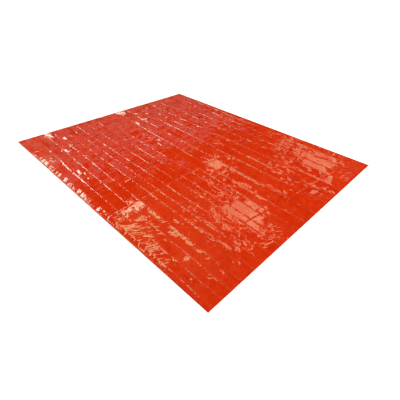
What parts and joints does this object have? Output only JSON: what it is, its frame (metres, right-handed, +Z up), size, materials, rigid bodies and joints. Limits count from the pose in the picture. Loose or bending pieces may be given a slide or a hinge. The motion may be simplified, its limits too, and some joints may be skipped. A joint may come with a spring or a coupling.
{
  "type": "emergency sleeping bag",
  "caption": "Flat emergency sleeping bag of creased orange-red plastic film: a front and a back film welded along the sides and foot, open at the mouth.",
  "frame": {"origin": "under the middle of the bag, on the ground that it lies on", "axes": "+X from the foot to the open mouth, +Y across the bag from the near side to the far side, +Z up out of the front film"},
  "size_m": [2.13, 1.76, 0.006],
  "materials": {
    "front_film": "glossy creased film",
    "back_film": "glossy creased film",
    "weld": "heat-sealed film, glossy and slightly puckered"
  },
  "bodies": {
    "root": {"back_panel": "back_film", "front_panel": "front_film", "near_side_weld": "weld", "far_side_weld": "weld", "foot_weld": "weld"}
  },
  "joints": []
}
